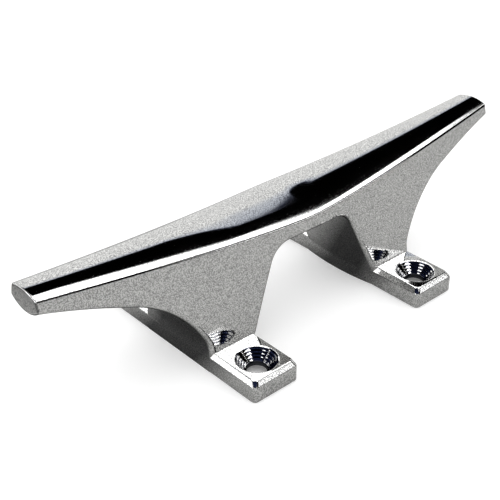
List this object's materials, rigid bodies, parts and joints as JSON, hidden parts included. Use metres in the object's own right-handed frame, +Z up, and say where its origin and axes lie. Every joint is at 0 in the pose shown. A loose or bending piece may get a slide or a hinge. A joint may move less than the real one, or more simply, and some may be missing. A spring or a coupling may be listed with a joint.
{
  "type": "open-base horn cleat",
  "caption": "Polished open-base horn cleat: a crowned, tapering horn bar on two arched legs whose foot bars have countersunk deck screw holes.",
  "frame": {"origin": "on the deck plane, under the middle of the cleat", "axes": "+X along the horns, +Y across the cleat along the foot bars, +Z up from the deck"},
  "size_m": [0.203, 0.0756, 0.0483],
  "materials": {
    "chrome_plate": "polished",
    "stainless_fastener": "satin",
    "spring_steel": "satin"
  },
  "bodies": {
    "root": {"horn_bar": "chrome_plate", "left_leg": "chrome_plate", "right_leg": "chrome_plate", "left_front_cap_screw": "stainless_fastener", "left_front_lock_washer": "spring_steel", "left_rear_cap_screw": "stainless_fastener", "left_rear_lock_washer": "spring_steel", "right_front_cap_screw": "stainless_fastener", "right_front_lock_washer": "spring_steel", "right_rear_cap_screw": "stainless_fastener", "right_rear_lock_washer": "spring_steel"}
  },
  "joints": []
}
